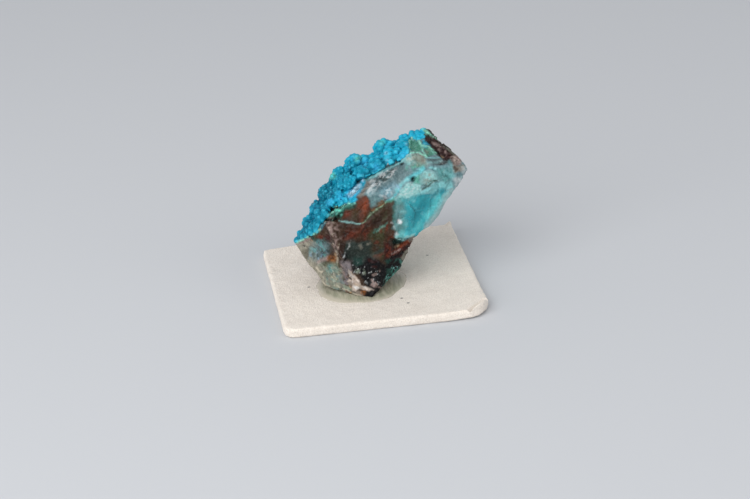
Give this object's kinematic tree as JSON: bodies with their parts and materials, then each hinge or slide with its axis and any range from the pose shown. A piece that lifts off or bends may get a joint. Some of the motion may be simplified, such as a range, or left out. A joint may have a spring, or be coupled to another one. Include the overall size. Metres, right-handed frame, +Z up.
{
  "type": "chrysocolla mineral specimen on foam square",
  "caption": "Broken mineral specimen with a grape-like blue crust on a quartz and ore matrix, stuck by clear tack to a square foam pad for display.",
  "frame": {"origin": "under the middle of the foam square, on the plane it rests on", "axes": "+Z up; -Y towards the viewer of the display side; +X to that viewer's right, the way the stone leans"},
  "size_m": [0.0512, 0.053, 0.0376],
  "materials": {
    "stone": "satin",
    "tack": "gloss",
    "foam": "matte"
  },
  "bodies": {
    "root": {"specimen_stone": "stone", "clear_tack": "tack", "foam_base": "foam"}
  },
  "joints": []
}
